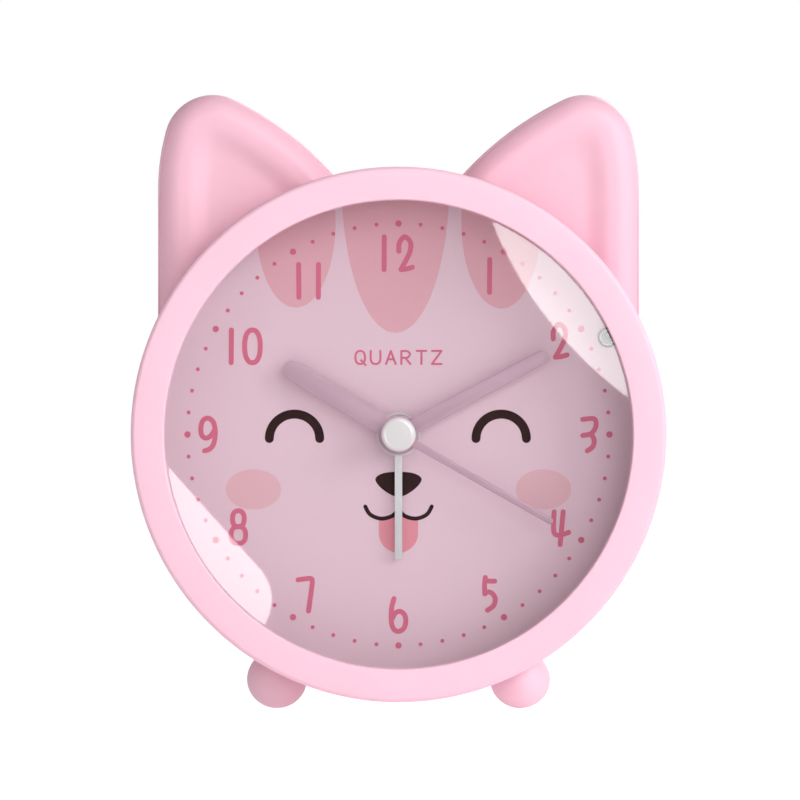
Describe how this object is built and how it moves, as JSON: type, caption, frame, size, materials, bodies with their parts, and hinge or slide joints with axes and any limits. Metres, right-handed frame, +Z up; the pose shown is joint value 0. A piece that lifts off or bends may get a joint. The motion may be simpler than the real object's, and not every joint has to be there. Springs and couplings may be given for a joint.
{
  "type": "table alarm clock",
  "caption": "Round quartz alarm clock with cat ears, ball feet and a tail-shaped rear prop; geared hands, setting knobs, alarm slider, light button and hinged battery door.",
  "frame": {"origin": "on the surface the clock stands on, under the middle of its overall box", "axes": "+X to the right as seen from the front, +Y backwards (the dial faces -Y), +Z up"},
  "size_m": [0.1052, 0.066, 0.1223],
  "materials": {
    "bezel_pink": "high gloss moulded plastic",
    "case_pink": "gloss moulded plastic",
    "lens_clear": "clear domed acrylic",
    "dial_card": "printed coated card",
    "white_plastic": "moulded plastic",
    "grey_plastic": "moulded plastic",
    "black_plastic": "moulded plastic",
    "hand_mauve": "painted sheet metal",
    "alarm_silver": "satin",
    "cap_white": "gloss",
    "lamp_clear": "clear epoxy",
    "steel": "zinc plated",
    "copper": "enamelled copper wire",
    "board_green": "solder mask",
    "magnet": "sintered",
    "brass": "sheet brass",
    "cell_jacket": "plain printed jacket",
    "lead_red": "PVC insulation",
    "lead_black": "PVC insulation",
    "gear_white": "acetal"
  },
  "bodies": {
    "clock_case": {"front_bezel": "bezel_pink", "lens": "lens_clear", "lens_spacer_ring": "grey_plastic", "dial": "dial_card", "dial_frame": "white_plastic", "dial_frame_screws": "steel", "led_lamp": "lamp_clear", "housing": "case_pink", "trim_screws": "steel", "ear_right": "case_pink", "ear_left": "case_pink", "foot_right": "case_pink", "foot_left": "case_pink", "tail": "case_pink", "back_cover": "case_pink", "case_screws": "steel", "battery": "cell_jacket", "battery_contact_positive": "steel", "battery_spring_negative": "steel", "movement_front_plate": "grey_plastic", "alarm_contact_spring": "brass", "movement_middle_plate": "grey_plastic", "movement_back_case": "black_plastic", "movement_screws": "steel", "stator": "steel", "coil_bobbin": "white_plastic", "coil_winding": "copper", "circuit_board": "board_green", "chip": "black_plastic", "quartz_crystal": "steel", "light_board": "board_green", "light_switch": "black_plastic", "buzzer": "black_plastic", "battery_lead_positive": "lead_red", "battery_lead_negative": "lead_black", "buzzer_leads": "lead_black", "led_leads": "lead_red", "light_leads": "lead_black"},
    "second_arbor": {"second_wheel": "gear_white", "second_hand": "hand_mauve", "second_hand_cap": "cap_white"},
    "rotor": {"rotor_pinion": "gear_white", "rotor_magnet": "magnet"},
    "intermediate": {"intermediate_wheel": "gear_white"},
    "third": {"third_wheel": "gear_white"},
    "centre": {"centre_wheel": "gear_white"},
    "minute": {"minute_arbor": "gear_white", "minute_hand": "hand_mauve"},
    "hour": {"hour_wheel": "gear_white", "hour_hand": "hand_mauve"},
    "time_set": {"motion_wheel": "gear_white", "time_set_knob": "case_pink"},
    "alarm_set": {"alarm_set_arbor": "gear_white", "alarm_set_knob": "case_pink"},
    "alarm": {"alarm_wheel": "gear_white", "alarm_hand": "alarm_silver"},
    "alarm_slider": {"alarm_switch": "white_plastic"},
    "light_push": {"light_button": "white_plastic"},
    "battery_door": {"battery_cover": "case_pink"}
  },
  "joints": [
    {"name": "second_hand_spin", "type": "hinge", "parent": "clock_case", "child": "second_arbor", "pos_m": [0, -0.013, 0.0547], "axis": [0, 1, 0], "continuous": true},
    {"name": "rotor_spin", "type": "hinge", "parent": "clock_case", "child": "rotor", "pos_m": [-0.00473, -0.009, 0.03992], "axis": [0, 1, 0], "continuous": true},
    {"name": "intermediate_spin", "type": "hinge", "parent": "clock_case", "child": "intermediate", "pos_m": [-0.00473, -0.009, 0.04652], "axis": [0, 1, 0], "continuous": true},
    {"name": "third_wheel_spin", "type": "hinge", "parent": "clock_case", "child": "third", "pos_m": [0, -0.011, 0.06388], "axis": [0, 1, 0], "continuous": true},
    {"name": "centre_wheel_spin", "type": "hinge", "parent": "clock_case", "child": "centre", "pos_m": [0, -0.0123, 0.0547], "axis": [0, 1, 0], "continuous": true},
    {"name": "time_knob_spin", "type": "hinge", "parent": "clock_case", "child": "time_set", "pos_m": [0.01128, 0.015, 0.0588], "axis": [0, 1, 0], "continuous": true},
    {"name": "minute_hand_spin", "type": "hinge", "parent": "clock_case", "child": "minute", "pos_m": [0, -0.018, 0.0547], "axis": [0, 1, 0], "continuous": true},
    {"name": "hour_hand_spin", "type": "hinge", "parent": "clock_case", "child": "hour", "pos_m": [0, -0.018, 0.0547], "axis": [0, 1, 0], "continuous": true},
    {"name": "alarm_knob_spin", "type": "hinge", "parent": "clock_case", "child": "alarm_set", "pos_m": [-0.01316, 0.015, 0.05949], "axis": [0, 1, 0], "continuous": true},
    {"name": "alarm_hand_spin", "type": "hinge", "parent": "clock_case", "child": "alarm", "pos_m": [0, -0.018, 0.0547], "axis": [0, 1, 0], "continuous": true},
    {"name": "alarm_switch_slide", "type": "slide", "parent": "clock_case", "child": "alarm_slider", "axis": [1, 0, 0], "range_m": [0, 0.004]},
    {"name": "light_button_press", "type": "slide", "parent": "clock_case", "child": "light_push", "axis": [0, -1, 0], "range_m": [0, 0.0012], "stiffness_N_per_m": 150},
    {"name": "battery_cover_hinge", "type": "hinge", "parent": "clock_case", "child": "battery_door", "pos_m": [0, 0.0128, 0.0431], "axis": [1, 0, 0], "range_deg": [0, 100]}
  ],
  "couplings": [
    {"joint": "intermediate_spin", "follows": "second_hand_spin", "ratio": -6},
    {"joint": "rotor_spin", "follows": "second_hand_spin", "ratio": 30},
    {"joint": "third_wheel_spin", "follows": "second_hand_spin", "ratio": -0.13333},
    {"joint": "centre_wheel_spin", "follows": "second_hand_spin", "ratio": 0.016667},
    {"joint": "minute_hand_spin", "follows": "time_knob_spin", "ratio": -3},
    {"joint": "hour_hand_spin", "follows": "time_knob_spin", "ratio": -0.25},
    {"joint": "alarm_hand_spin", "follows": "alarm_knob_spin", "ratio": -0.33333}
  ]
}
